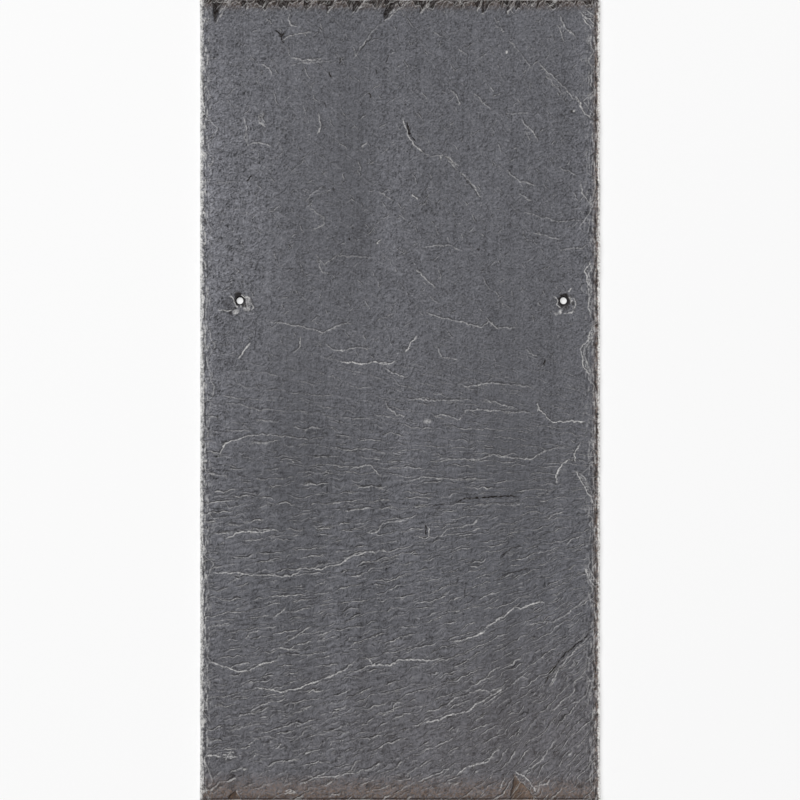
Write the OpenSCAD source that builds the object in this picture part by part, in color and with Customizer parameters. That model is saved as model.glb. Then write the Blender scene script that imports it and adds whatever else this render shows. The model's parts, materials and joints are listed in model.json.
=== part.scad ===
// Natural slate roof tile: one riven sheet of slate, dressed to a rectangle and holed for two nails.
// It lies on its bed with the weather face up, in millimetres. The origin is under the middle of the
// bed, +Y runs to the head, -Y to the tail and +X across the courses.

/* [Slate] */
// Length from tail to head
slate_length = 500; // [300:5:600]
// Width across the courses
slate_width = 250; // [150:5:350]
// Thickness of the sheet at its full layers
slate_thickness = 6; // [5:0.1:12]

/* [Nail holes] */
// Diameter of the punched hole
nail_hole_d = 4.2; // [3:0.1:5]
// Left hole's centre from the left edge
nail_left = 25; // [18:0.5:40]
// Right hole's centre from the right edge
nail_right = 23; // [18:0.5:40]
// Lap of each slate over the next but one
head_lap = 100; // [60:5:130]
// Clearance of the nail above the head of the slate next but one below
nail_clearance = 12; // [8:1:25]
// Depth of the cone that the punch breaks out of the weather face
crater_depth = 2.5; // [1.5:0.1:3.5]
// Width of that cone at the weather face
crater_d = 7; // [6:0.1:10]
// Depth of the flakes that spring off round the cone
spall_depth = 0.9; // [0.4:0.1:1.3]
// Radius of the hollow that each such flake leaves
spall_r = 16; // [10:1:24]
// Middle of each such flake from the hole's axis
spall_shift = 2.4; // [0:0.1:4]

/* [Dressed edges] */
// Length of edge that one blow of the dressing knife takes
flake_pitch = 13; // [9:0.5:24]
// Radius of the hollow that a flake leaves
flake_r = 55; // [30:1:80]
// Shortest run of a flake over the weather face
flake_reach_min = 0.8; // [0.6:0.1:1.5]
// Longest run of a flake over the weather face
flake_reach_max = 3.4; // [1.6:0.1:5]
// Shallowest drop of a flake down the edge
flake_drop_min = 0.8; // [0.6:0.1:1.5]
// Deepest drop of a flake down the edge
flake_drop_max = 2.4; // [1.6:0.1:3.5]
// Share of the pitch by which a flake strays along the edge
flake_stray = 0.2; // [0:0.05:0.4]
// How far the edge strays in from a straight line
edge_wander = 0.3; // [0:0.1:1]
// Unevenness of the sides of a chip
chip_jag = 1; // [0:0.1:1.2]
// Height of the step at a chip's tip
chip_step = 0.4; // [0.2:0.1:1]

/* [Riven face] */
// Height of the tallest cleavage step
scarp_height = 0.45; // [0.2:0.05:0.9]
// Waviness of the cleavage steps
scarp_ripple = 1.1; // [0:0.1:2]

/* [Hidden] */
$fn = 72;

// The head of the slate next but one below lies half a lap above this slate's middle.
nail_y = head_lap / 2 + nail_clearance;
nail_x = [-slate_width / 2 + nail_left, slate_width / 2 - nail_right];
// Cutters stand this far proud of the faces that they cut.
proud = 1;
scarp_points = 28;
chip_points = 4;
// Waves along one cleavage step, and the height of the shorter ones as a share of the longer ones'
long_waves = 2.3;
short_waves = 5.7;
short_wave_share = 0.6;
// Directions in which the flakes lie round the left and the right nail hole
spall_headings = [[165, -40], [70, 245]];
// Each kind of scatter starts from a number of its own.
flake_seed = 100;
chip_seed = 500;
scarp_seed = 5000;
scatter_step = 127.1;
scatter_start = 31.7;
scatter_gain = 43758.5453;

// Each edge runs from its left end to its right end, seen from outside with the weather face up.
// Chips broken out of the head and tail: [share along the edge from its middle, width, reach over the
// face, drop, share of the width by which the tip leans].
head_chips = [
    [0.444, 13, 15.5, 3.2, 0.33],
    [0.389, 4.5, 7, 2, -0.29],
    [0.342, 5, 6, 2, 0.12],
    [0.226, 7, 7, 2.2, 0.22],
    [0.172, 7.5, 9.5, 2.6, 0.33],
    [0.101, 13, 8.5, 2.8, 0.19],
    [0.014, 14, 14, 3.2, 0.37],
    [-0.064, 8, 9.5, 2.6, 0.42],
    [-0.147, 8, 4.5, 2, 0.3],
    [-0.195, 6, 8, 2.2, 0.15],
    [-0.276, 7, 10, 2.6, 0.32],
    [-0.331, 5.5, 4.5, 2, 0.28],
    [-0.379, 8, 5, 2.2, 0.31],
];
tail_chips = [
    [-0.415, 9, 7, 2.6, 0.2],
    [0.31, 17, 17, 3, -0.38],
];

// Long flakes along the sides: [share along the edge from its middle, reach over the face, drop,
// radius of the hollow].
left_flakes = [
    [-0.37, 6, 2.4, 40],
    [0.07, 5, 2, 45],
    [0.3, 6, 2.2, 50],
];
right_flakes = [
    [0.38, 7, 2.4, 45],
    [0.135, 6, 2.4, 60],
    [0.05, 9, 2.8, 50],
    [-0.1, 8, 2.6, 40],
    [-0.33, 7, 2.2, 45],
];

// Cleavage scarps: [share of half the width, share of half the length, chord, reach, heading, share of
// the full step height]. Each ramps down from its chord to a ragged step on its tail side.
scarps = [
    [-0.48, -0.68, 70, 14, 20, 1],
    [-0.80, -0.64, 46, 9, 4, 0.8],
    [0.10, -0.63, 60, 9, 8, 0.7],
    [0.34, -0.74, 74, 12, 24, 1],
    [0.45, -0.57, 66, 10, 27, 0.9],
    [0.36, -0.90, 40, 10, 40, 0.8],
    [-0.22, -0.90, 44, 9, 16, 0.8],
    [-0.72, -0.07, 50, 10, 14, 0.7],
    [-0.62, -0.30, 66, 9, 8, 0.9],
    [-0.50, -0.40, 80, 9, 6, 0.9],
    [-0.10, -0.16, 40, 8, 4, 0.7],
    [0.38, -0.02, 70, 8, 0, 0.8],
    [0.83, -0.01, 36, 14, -20, 0.9],
    [0.56, -0.13, 60, 8, 6, 0.7],
    [0.40, -0.31, 40, 9, 22, 0.8],
    [0.30, 0.20, 52, 8, -8, 0.6],
    [-0.55, 0.19, 44, 8, -8, 0.6],
    [0.14, 0.63, 44, 16, -42, 0.8],
    [0.60, 0.55, 36, 9, -26, 0.6],
];

// A repeatable scatter: the same whole number always gives the same share from 0 to 1.
function scatter(n) =
    let (v = sin(n * scatter_step + scatter_start) * scatter_gain)
    v - floor(v);

function between(low, high, share) = low + (high - low) * share;

// Points along an edge, each straying in by up to edge_wander. The edge lies on X and the slate on +Y.
function wandering_edge(edge_length, seed) =
    let (n = round(edge_length / flake_pitch))
    [for (i = [0:n - 1]) [
        edge_length * (i / n - 0.5),
        i == 0 ? 0 : edge_wander * scatter(seed + i),
    ]];

function turned(points, angle, shift) = [for (p = points) [
    p.x * cos(angle) - p.y * sin(angle) + shift.x,
    p.x * sin(angle) + p.y * cos(angle) + shift.y,
]];

// Each edge as [length, turn from the tail edge, middle of the edge, seed, long flakes, chips].
edges = [
    [slate_width, 0, [0, -slate_length / 2], 1000, [], tail_chips],
    [slate_length, 90, [slate_width / 2, 0], 2000, right_flakes, []],
    [slate_width, 180, [0, slate_length / 2], 3000, [], head_chips],
    [slate_length, 270, [-slate_width / 2, 0], 4000, left_flakes, []],
];

module blank() {
    linear_extrude(slate_thickness)
        polygon([for (e = edges) each turned(wandering_edge(e[0], e[3]), e[1], e[2])]);
}

// A round hollow at an edge that lies on X: it meets the weather face at reach, and the edge at drop.
module flake(along, reach, drop, r) {
    chord = norm([reach, drop]);
    rise = sqrt(r * r - chord * chord / 4);
    translate([
        along,
        reach / 2 - rise * drop / chord,
        slate_thickness - drop / 2 + rise * reach / chord,
    ])
        sphere(r);
}

// One side of a chip's outline, from its foot on the edge to its tip, with small jags.
function chip_side(foot_x, tip, seed) = [for (i = [1:chip_points - 1])
    let (t = i / chip_points)
    [
        between(foot_x, tip.x, t) + chip_jag * 4 * t * (1 - t) * (scatter(seed + i) - 0.5),
        tip.y * t,
    ]
];

function backwards(points) = [for (i = [len(points) - 1:-1:0]) points[i]];

function chip_outline(width, reach, lean, seed) =
    let (tip = [lean * width, reach])
    concat(
        [[-width / 2, -proud], [-width / 2, 0]],
        chip_side(-width / 2, tip, seed),
        [tip],
        backwards(chip_side(width / 2, tip, seed + chip_points)),
        [[width / 2, 0], [width / 2, -proud]]
    );

// An angular chip at an edge that lies on X. Its floor rises from the edge to a low step at its tip.
module chip(width, reach, drop, lean, seed) {
    slope = atan((drop - chip_step) / reach);
    translate([0, 0, slate_thickness - drop])
        intersection() {
            translate([0, 0, -proud])
                linear_extrude(drop + 2 * proud)
                    polygon(chip_outline(width, reach, lean, seed));
            rotate([slope, 0, 0])
                translate([-width, -reach, 0])
                    cube([2 * width, 3 * reach, 3 * slate_thickness]);
        }
}

module dressed_edge(edge_length, seed, long_flakes, chips) {
    n = round(edge_length / flake_pitch);
    first = seed + flake_seed;
    for (i = [0:n - 1])
        flake(
            edge_length * ((i + 0.5 + between(-flake_stray, flake_stray, scatter(first + 3 * i))) / n - 0.5),
            between(flake_reach_min, flake_reach_max, pow(scatter(first + 3 * i + 1), 2)),
            between(flake_drop_min, flake_drop_max, scatter(first + 3 * i + 2)),
            flake_r
        );
    for (f = long_flakes)
        flake(f[0] * edge_length, f[1], f[2], f[3]);
    for (i = [0:1:len(chips) - 1])
        let (c = chips[i])
            translate([c[0] * edge_length, 0, 0])
                chip(c[1], c[2], c[3], c[4], seed + chip_seed + 2 * chip_points * i);
}

module dressing() {
    for (e = edges)
        translate(e[2])
            rotate(e[1])
                dressed_edge(e[0], e[3], e[4], e[5]);
}

// The step's line in plan: a bow from one end of the chord to the other, with two waves on it.
function scarp_line(chord, reach, seed) = [for (i = [0:scarp_points])
    let (t = i / scarp_points, fade = 4 * t * (1 - t))
    [
        chord * (t - 0.5),
        -reach * fade + fade * scarp_ripple * (
            sin(360 * (long_waves * t + scatter(seed)))
            + short_wave_share * sin(360 * (short_waves * t + scatter(seed + 1)))
        ),
    ]
];

module scarp(chord, reach, height, seed) {
    slope = atan(height / reach);
    rotate([slope, 0, 0])
        linear_extrude(slate_thickness)
            polygon(concat(
                scarp_line(chord, reach, seed),
                [[chord / 2, proud], [-chord / 2, proud]]
            ));
}

module scarps_of_face() {
    for (i = [0:len(scarps) - 1])
        let (s = scarps[i])
            translate([s[0] * slate_width / 2, s[1] * slate_length / 2, slate_thickness])
                rotate(s[4])
                    scarp(s[2], s[3], s[5] * scarp_height, scarp_seed + 2 * i);
}

// The bore keeps its full wall below the cone. The flakes stay above the cone's foot.
module nail_hole(headings) {
    translate([0, 0, -proud])
        cylinder(d = nail_hole_d, h = slate_thickness + 2 * proud);
    cone_slope = (crater_d - nail_hole_d) / crater_depth;
    translate([0, 0, slate_thickness - crater_depth])
        cylinder(
            d1 = nail_hole_d,
            d2 = crater_d + proud * cone_slope,
            h = crater_depth + proud
        );
    for (heading = headings)
        rotate(heading)
            translate([spall_shift, 0, slate_thickness - spall_depth + spall_r])
                sphere(spall_r);
}

module slate_tile() {
    color("#616166")
        difference() {
            blank();
            scarps_of_face();
            dressing();
            for (i = [0, 1])
                translate([nail_x[i], nail_y, 0])
                    nail_hole(spall_headings[i]);
        }
}

slate_tile();
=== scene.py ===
import json
import math
from typing import NamedTuple

import bmesh
import bpy
import numpy as np
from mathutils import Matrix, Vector, kdtree


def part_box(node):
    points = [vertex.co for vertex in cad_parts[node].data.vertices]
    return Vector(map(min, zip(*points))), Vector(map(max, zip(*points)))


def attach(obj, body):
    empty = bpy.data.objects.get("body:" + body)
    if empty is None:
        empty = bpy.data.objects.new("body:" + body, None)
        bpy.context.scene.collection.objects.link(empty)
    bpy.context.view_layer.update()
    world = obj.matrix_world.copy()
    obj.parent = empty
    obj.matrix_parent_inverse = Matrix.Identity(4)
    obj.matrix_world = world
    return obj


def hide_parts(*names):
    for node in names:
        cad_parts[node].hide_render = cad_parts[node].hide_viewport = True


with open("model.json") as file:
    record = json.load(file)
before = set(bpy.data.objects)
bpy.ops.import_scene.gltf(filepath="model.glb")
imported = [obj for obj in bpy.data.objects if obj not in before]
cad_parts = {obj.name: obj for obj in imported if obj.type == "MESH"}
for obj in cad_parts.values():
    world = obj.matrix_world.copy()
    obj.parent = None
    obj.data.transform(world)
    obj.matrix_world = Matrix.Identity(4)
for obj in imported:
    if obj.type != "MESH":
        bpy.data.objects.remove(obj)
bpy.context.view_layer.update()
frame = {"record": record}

# Sizes of the slate, in millimetres. X runs across the courses, Y to the head and Z up.
MM = 0.001
LOW, HIGH = (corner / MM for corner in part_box("slate_tile"))
WIDTH, LENGTH, THICKNESS = HIGH - LOW
NAIL_HOLES = [mount for mount in frame["record"]["mounts"] if mount["kind"] == "bore"]

# Places nearer than this are the same place.
TOUCH = 0.001

# Grid of the sheet. Its cells are halved once everywhere, and twice more near lines, edges and holes.
CELL = 5
LINE_REACH = (3.0, 0.9)
EDGE_REACH = (8.0, 3.2)
HOLE_BLOCK = 5
HOLE_MARGIN = (9, 5)
# A face whose normal points up or down by less than this is a wall.
WALL_SLOPE = 0.5
SHARP_ANGLE = math.radians(50)
# Rings of faces round a nail hole: how many, and the share of the way to the rim that each leaves
RING_COUNT = 5
RING_SHRINK = 0.6

# Seeds of the noise that shapes the stone, and of its lines
LONG_RAG_SEED = 1
SHORT_RAG_SEED = 2
OUTLINE_SEED = 3
BROAD_SWELL_SEED = 5
FINE_SWELL_SEED = 6
LIP_SEED = 7
BLOT_SEED = 8
BED_SEED = 11
WALL_SEED = 12
STEP_SEED = 10
CRACK_SEED = 300
CHIP_SEED = 400
# Numbers that scatter one draw from the next, as in the solid
SCATTER_TURN = 127.1
SCATTER_START = 31.7
SCATTER_SCALE = 43758.5453
# Numbers that scatter the noise over its two directions and its seed
NOISE_TURNS = (127.1, 311.7, 74.7)

# Broad and finer hollows of the split: mean depth, then size and swing of each
SWELL_DEPTH = 0.35
BROAD_SWELL = (70, 0.2)
FINE_SWELL = (26, 0.12)
# Roughness of the bed: size and half of its height
BED_SIZE = 18
BED_ROUGH = 0.1

# Punched craters
CRATER_DEPTH = 2.5
CRATER_RADIUS = 3.5
SPALL_DEPTH = 0.9
SPALL_RADIUS = 16
SPALL_SHIFT = 2.4
SPALL_HEADINGS = ((165, -40), (70, 245))

# Dressed edges
FLAKE_PITCH = 13
FLAKE_RADIUS = 55
FLAKE_REACH = (0.8, 3.4)
FLAKE_DROP = (0.8, 2.4)
FLAKE_STRAY = 0.2
FLAKE_SEED = 100
FLAKE_DRAWS = 3
EDGE_WANDER = 0.3
EDGE_RAG = 0.15
EDGE_RAG_SIZE = 2.4
WALL_RAG = 0.45
WALL_RAG_SIZE = 2.5
WALL_RAG_STRETCH = 40
CHIP_STEP = 0.4
# Points within this many reaches of a chip's tip may lie in it.
CHIP_SEARCH = 2

# Chips of the head and tail: share along the edge, width, reach, drop, lean of the tip
HEAD_CHIPS = (
    (0.444, 13, 15.5, 3.2, 0.33),
    (0.389, 4.5, 7, 2, -0.29),
    (0.342, 5, 6, 2, 0.12),
    (0.226, 7, 7, 2.2, 0.22),
    (0.172, 7.5, 9.5, 2.6, 0.33),
    (0.101, 13, 8.5, 2.8, 0.19),
    (0.003, 16, 14, 3.2, 0.58),
    (-0.064, 8, 9.5, 2.6, 0.42),
    (-0.147, 8, 4.5, 2, 0.3),
    (-0.195, 6, 8, 2.2, 0.15),
    (-0.276, 7, 10, 2.6, 0.32),
    (-0.331, 5.5, 4.5, 2, 0.28),
    (-0.379, 8, 5, 2.2, 0.31),
)
TAIL_CHIPS = (
    (-0.415, 9, 7, 2.6, 0.2),
    (0.31, 17, 17, 3, -0.38),
)
# Long flakes of the sides: share along the edge, reach, drop, radius
LEFT_FLAKES = (
    (-0.37, 6, 2.4, 40),
    (0.07, 5, 2, 45),
    (0.3, 6, 2.2, 50),
)
RIGHT_FLAKES = (
    (0.38, 7, 2.4, 45),
    (0.135, 6, 2.4, 60),
    (0.05, 9, 2.8, 50),
    (-0.1, 8, 2.6, 40),
    (-0.33, 7, 2.2, 45),
)


class Edge(NamedTuple):
    """One dressed edge of the slate."""
    length: float
    turn: float  # in degrees, from the tail edge
    middle: tuple
    seed: int
    long_flakes: tuple = ()
    chips: tuple = ()


EDGES = {
    "tail": Edge(WIDTH, 0, (0, -LENGTH / 2), seed=1000, chips=TAIL_CHIPS),
    "right": Edge(LENGTH, 90, (WIDTH / 2, 0), seed=2000, long_flakes=RIGHT_FLAKES),
    "head": Edge(WIDTH, 180, (0, LENGTH / 2), seed=3000, chips=HEAD_CHIPS),
    "left": Edge(LENGTH, 270, (-WIDTH / 2, 0), seed=4000, long_flakes=LEFT_FLAKES),
}

# Cleavage steps of the weather face. The upper layer is on the right of a line that is followed.
BOLD_STEPS = (
    ((17.4, -79), (18.1, -85.5)),
    ((108.5, -43), (113, -50.5), (117.5, -58), (121.8, -67.5)),
    ((114.5, -104.5), (117.5, -111), (122.5, -117.5)),
    ((-122.5, -32), (-112, -33), (-109, -27), (-97, -23), (-78, -21)),
    ((-119, -109.5), (-113, -107.5), (-101, -108), (-88, -109.5), (-69, -110), (-59, -105.5)),
    ((-59, -105.5), (-51, -105.5), (-37, -102), (-31, -97.5), (-19, -95), (-9.5, -94.5)),
    ((-122.5, -162.5), (-113, -165), (-102, -169), (-94.5, -169), (-88, -165.5), (-77, -162.5), (-75, -159)),
    ((-95.5, -182.5), (-89, -179.5), (-72.5, -182), (-62, -179.5), (-43, -172), (-34.5, -168), (-26, -160)),
    ((-25.5, -160), (-19.5, -162), (-17, -165.5), (-6, -165), (0, -162), (19, -162.5), (28, -160.5)),
    ((51, -144), (58, -139), (66, -134), (71, -129), (75.5, -130.5), (79.5, -128), (89, -126), (92.5, -128)),
    ((30.5, -151), (39, -150), (50, -146), (54, -142.5)),
    ((10.5, -202), (24, -200), (32.5, -196), (42.5, -194), (47.5, -190), (60, -182.5), (67.5, -178)),
    ((85, 1), (87, -6), (92.5, -12.5), (95.5, -14), (105.5, -13), (117.5, -14)),
    ((34, -236), (37, -232), (43, -229), (54, -226), (58, -220.5), (63, -217)),
    ((-111, -87), (-99, -82.5), (-88, -82.5), (-78, -81), (-75, -82.5)),
    ((2.5, 29.5), (7, 35.5), (11, 40)),
    ((-102, 25.5), (-97, 31), (-93, 36)),
    ((-39, 24.5), (-25, 22.5), (-15, 24), (-6, 22.5), (-1, 25)),
    ((1.4, 177), (2.3, 173.5), (4.6, 166.1), (8.5, 159.8), (11.6, 156.7), (18.5, 152)),
    ((70.8, -231.3), (76.3, -234.4), (81.6, -239), (85.6, -245.3)),
    ((97.5, -53), (97.7, -46), (101.5, -39.5), (106, -36)),
    ((109.5, -39.5), (109, -32.5), (113, -26)),
    ((109, 190.5), (113, 183), (115.3, 178), (119.5, 176)),
    ((119.5, 88), (115.5, 81), (117, 72.5), (117.5, 62), (119, 51)),
    ((121, 49.5), (117, 37.5), (112.5, 32), (114.5, 21), (120.5, 12)),
    ((7, 128), (11.6, 125)),
    ((-14.9, 96.9), (-11.8, 100.4)),
    ((-121.6, -222.2), (-116, -221.8), (-111.3, -222.4)),
    ((-111.3, -221), (-107, -222), (-102.8, -223.4)),
    ((-109, -225), (-107.2, -221.5), (-105, -218.8)),
    ((-108, -219.4), (-103.4, -220.3)),
    ((-106.6, -223.6), (-101, -222.3)),
    ((-72.9, -245.3), (-69, -245.8), (-64.4, -245)),
    ((-71.9, -243.8), (-68.4, -243), (-64.4, -246)),
    ((112.2, 242.2), (116.5, 239), (121.6, 233.8)),
    ((113.8, 238.3), (116.5, 235.5), (120, 231.3)),
)
PLAIN_STEPS = (
    ((-94.5, 159.5), (-88, 161), (-80, 158)),
    ((-98, 177), (-96, 170), (-97, 163), (-94.5, 160)),
    ((-69, 213.5), (-60, 212), (-48, 213)),
    ((-70, 240), (-69, 234), (-63, 233)),
    ((92, -181), (97, -171), (104, -161), (112.5, -153.5), (120.5, -145)),
    ((76, -234), (81, -229.7), (89, -224), (92.5, -217.5), (98, -210.5)),
    ((121.5, 86), (118, 79), (119.3, 72), (119.8, 62)),
    ((122.5, 46), (119, 37), (115, 31.5), (116.8, 21.5), (122, 13)),
    ((112, -45), (117, -52.5), (121.5, -61)),
    ((117, -103), (120, -109), (123, -113.5)),
    (
        (19.5, -40), (25.5, -37), (49.5, -37), (55.5, -34.5), (82.5, -37), (88, -32.5), (98, -29.5),
        (107, -31),
    ),
    ((-22, -82.5), (-14.5, -83), (-10.5, -77), (5.5, -74.5)),
    ((22, -85), (25.5, -84.5), (29.5, -80.5), (36, -80), (45.5, -77), (50, -72.5)),
    ((78, -140.5), (84.5, -139), (95, -139), (104.5, -133), (119, -122)),
    ((27, -192.5), (32, -187.5), (39.5, -185), (50, -180.5), (56, -182), (67.5, -178)),
    ((52, -175), (55.5, -170.5), (63, -166)),
    ((69, -178), (75, -173), (80.5, -174)),
    ((94, -194), (99, -190.5), (103, -186.5), (107, -183.5), (109.5, -179)),
    ((106.5, -189.6), (112, -187.5), (116, -184.6), (117.6, -176)),
    ((107, -178.8), (110, -175), (115, -172)),
    ((116, -176), (122, -173.8)),
    ((20.5, -10), (30.5, -9.5), (36, -12.5), (39.5, -10.5)),
    ((39, -11), (41, -7), (47, -6), (67.5, -7.5), (84.5, -7.5)),
    ((-80, -136.2), (-75.5, -134), (-71, -129)),
    ((-97, -149.8), (-93, -145.5), (-87.5, -143.8)),
    ((-60.5, -234), (-54.5, -235.5), (-40.5, -235), (-32.5, -232.5), (-27.5, -226), (-22.5, -224)),
    ((-32.5, -44.5), (-28, -42), (-19, -40.5), (-14, -45.5), (-10.5, -48)),
    ((2.5, -52), (13, -48), (26, -49), (49.5, -50), (58, -49)),
    ((-71.5, -149.8), (-66.8, -149), (-61.8, -144.7), (-55.4, -141)),
    ((-51.6, -146.9), (-47, -146), (-42.6, -143.6)),
    ((-82.5, -157), (-76, -155), (-65, -156), (-62, -155)),
    ((-95.5, -195.5), (-89, -192), (-83, -189), (-75, -188), (-70.5, -184)),
    ((-17, -197), (-4.5, -194), (-4, -190), (2.5, -187.5)),
    ((102.5, -91), (107, -87), (114.5, -84.5)),
    ((89, -75), (95.5, -72), (102.5, -69.5)),
    ((-9.5, -0.5), (-6, -6), (-2, -9.5), (4, -10)),
    ((2.5, 1), (15, 0), (41, -0.5)),
    ((51, 1), (60, -2), (72, -5)),
    ((36, 11), (42.5, 8), (51, 10), (63, 10.5), (84, 8)),
    ((-10.5, 20.5), (-3, 16), (5, 14)),
    ((-47.5, 36), (-40.5, 30.5), (-25.5, 32.5), (-17, 32)),
    ((-84, 49.5), (-71, 47.5), (-47.5, 42.5), (-42.5, 44.5), (-35.5, 48), (-27.5, 48)),
    ((-67, 29), (-62.5, 34), (-62, 40)),
    ((66, 145), (70.5, 139.5), (75, 136), (80.5, 135.5), (86, 133)),
    ((75.5, 176), (82, 167.5), (87, 160.5)),
    ((100, 237), (107, 227.5)),
    ((30.5, 194), (35, 190.5), (37, 183)),
    ((-87, 209.5), (-82, 207), (-79.5, 202)),
    ((-51, 180), (-50, 170), (-52, 165.5)),
    ((-75, 224), (-68, 227), (-54, 229.5)),
    ((112.5, 137), (113, 129), (120.5, 120)),
    ((13, 55.5), (22, 52), (32.5, 49.5), (51, 45.5), (55.5, 49), (60.5, 45), (76, 45)),
    ((9, 82.5), (15.3, 76), (22.6, 68.8)),
    ((85, 211.4), (98.6, 198), (111, 185.6)),
    ((98.6, 240.6), (103.9, 231.3), (110, 226)),
    ((98, 234.4), (102.8, 223.4)),
    ((114.5, 243.4), (121.6, 240)),
    ((83.3, -241.3), (91.9, -239), (93.4, -236)),
    ((61.4, -244.4), (65.9, -233.6)),
    ((30.2, -239.2), (34.7, -238.8)),
    ((-24.3, 157.3), (-20.3, 160.6)),
    ((36.2, 143.4), (31.1, 148.1), (29.6, 149.6)),
    ((37.4, 145.8), (31.1, 150.1), (25.4, 154)),
    ((51.5, 125.4), (45.9, 132.5), (42.8, 137.2), (37, 142.4)),
    ((-70, -232.8), (-72.2, -239.9)),
    ((-84.5, 180), (-86.5, 176), (-84, 172.5)),
    ((-88.5, 179), (-87.5, 173.5), (-83.5, 170)),
)
FAINT_STEPS = (
    ((50, -67.5), (56, -64.5), (72, -66), (77.5, -64)),
    ((118.9, -41.7), (118.4, -34.4), (121.6, -29)),
    ((-54.5, 92), (-47.5, 84.5), (-39, 90), (-27, 89.5), (-15, 88)),
    ((-52, 88), (-49, 80), (-43, 79)),
    ((-57.5, 120.5), (-47.5, 114), (-47.5, 109.5), (-56, 105.5)),
    ((22, 34.5), (26, 27), (37, 25)),
    ((78, 33), (80.5, 29), (86, 27.5)),
    ((-60.5, -20), (-54.5, -17), (-50, -17.5)),
    ((-51, -46), (-42, -45.5)),
    ((-122.5, -143), (-114.5, -141), (-105.5, -139)),
    ((-52.5, -151.4), (-49, -150), (-45.5, -146.6)),
    ((-107.5, -115.4), (-101.6, -111)),
    ((-108, -206), (-97, -204.5), (-86, -201)),
    ((-93, -211), (-84.5, -210), (-75.5, -212)),
    ((-67, -213), (-62, -209.5), (-58, -205.5)),
    ((-53, -209), (-40, -207), (-29.5, -207.5)),
    ((-72.5, -240), (-70.5, -234)),
    ((20.5, 230), (27, 226)),
    ((36, 219.5), (43, 214)),
    ((-116, 135.5), (-99.5, 136)),
    ((-59, 124), (-53, 130), (-47, 134)),
    ((67, 225), (75.8, 215.6), (82, 206)),
    ((90.3, 203), (96, 196.5), (102.8, 189.6)),
    ((59, 234), (65.3, 229)),
    ((45.5, 191.8), (52.8, 184.4), (57, 181)),
    ((77.8, 167.7), (81, 161.4)),
    ((73.6, 129), (82, 124)),
    ((-13.9, 130.2), (-3.4, 124)),
    ((-1.4, 115.6), (3.9, 112.5)),
    ((-26.2, 148.9), (-24.3, 142.7)),
    ((13.3, 95), (29.7, 96.9), (40.3, 92.7)),
    ((74.7, 117.7), (86, 114.5), (98.4, 111.4), (119.5, 112.5)),
    ((82, 104.4), (100.8, 100)),
    ((98.4, 93.8), (115.3, 95)),
    ((65.3, 179), (72, 178.6), (81, 179.2)),
    ((98.4, 145.8), (111, 139.6)),
    ((18.4, 64.6), (23.6, 60.4)),
    ((-97, 173), (-96, 167), (-95, 157.5)),
    ((-70.6, 209), (-56, 210.5), (-41, 211.6)),
    ((-30, 212), (-28.5, 214.4), (-21.5, 224), (-13.8, 233.3), (-9.5, 236)),
    ((14, 154.5), (18, 152.6), (24.9, 152.1), (28, 152.5)),
)
CRACKS = (
    ((32.5, -64), (42.5, -61), (60, -60.5), (70.5, -60), (75, -62)),
    ((15.8, -77.5), (16.2, -84.5)),
    ((90.5, 25.5), (89, 18)),
    ((-44.5, 205), (-43, 201)),
    ((-19.5, 192), (-18, 188.5)),
    ((-95.5, 136), (-92.3, 140.3)),
    ((-78.5, 231), (-74.5, 227.5), (-72.5, 222)),
    ((-71.5, 229.5), (-74.5, 227.5)),
    ((3.4, 175), (6.2, 166), (10.5, 160.3)),
    ((-31.8, 103.8), (-31.3, 99.3)),
    ((89, -179.5), (94, -169.5), (102, -159), (111, -152), (119.5, -143)),
)
FAINT_CRACKS = (
    ((19, -65.5), (26, -65.2), (32.5, -64)),
    ((60, -114), (64.5, -109), (74, -106), (82, -105)),
    ((40.5, -115.5), (40.5, -122), (50, -122.5)),
    ((60.5, -197.5), (66, -190.5), (70.5, -186)),
    ((74, -197.5), (77.5, -195), (80.5, -195.5)),
    ((-7.7, 215.6), (-8.7, 210.6)),
    ((-16, 206.2), (-14, 203.3)),
    ((-47.6, 186), (-46.2, 182)),
    ((-42, 132.7), (-40.6, 129.3)),
    ((62, -98), (70, -92), (76, -90.5)),
    ((66.5, -169), (70, -166.5), (74.2, -162.8)),
    ((-27, 215), (-20.6, 223.4), (-14, 231.4)),
    ((-37.2, 214.2), (-37.9, 209.6)),
    ((27, 152.6), (31, 149.4), (35.4, 146.2)),
    ((41.3, 137.4), (43, 135), (45.8, 131.2)),
    ((-99.5, -140.2), (-94, -140.6), (-89.5, -140.2)),
)
# Lips of the facets that the punch broke out round the nail holes, and the cracks beside them
HOLE_LIPS = (
    ((-96.2, 65.5), (-94, 63.2), (-91.3, 57.7), (-93.1, 55.8)),
    ((-96.4, 65.3), (-95, 56.5)),
    ((-99.1, 65.7), (-96.8, 63.5)),
    ((-106.7, 65.3), (-104.4, 63.2), (-102.8, 59.6), (-100.6, 57.5)),
    ((-114.1, 55.8), (-104.4, 55.8)),
    ((95.6, 65.1), (98.5, 61.7), (98.1, 59.7), (101.1, 56.5)),
    ((101.9, 54.1), (107.3, 54.1), (107.8, 56.5)),
    ((105.3, 64.7), (106.3, 62.4), (106.5, 59.3)),
    ((107.7, 63.9), (109.4, 60.8), (109.2, 56.5)),
    ((105, 67), (107, 70)),
)
HOLE_CRACKS = (
    ((-108.3, 58), (-105.3, 60.4)),
    ((-104.6, 57.8), (-101.6, 57.6)),
    ((-106.4, 54.8), (-105, 53.2), (-103.5, 50)),
    ((-95.8, 55.2), (-93.8, 55.2)),
    ((101.3, 71.7), (103.8, 67.7)),
)
# Height of a step, how pale its lip is (pale bruised stone with painted highlight), and how dark the painted
# shade at its foot is
STEP_LOOKS = (
    (BOLD_STEPS, 0.42, 0.83, 0.6),
    (PLAIN_STEPS, 0.26, 0.5, 0.55),
    (FAINT_STEPS, 0.15, 0.33, 0.4),
    (HOLE_LIPS, 0.12, 0.75, 0.5),
)
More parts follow.
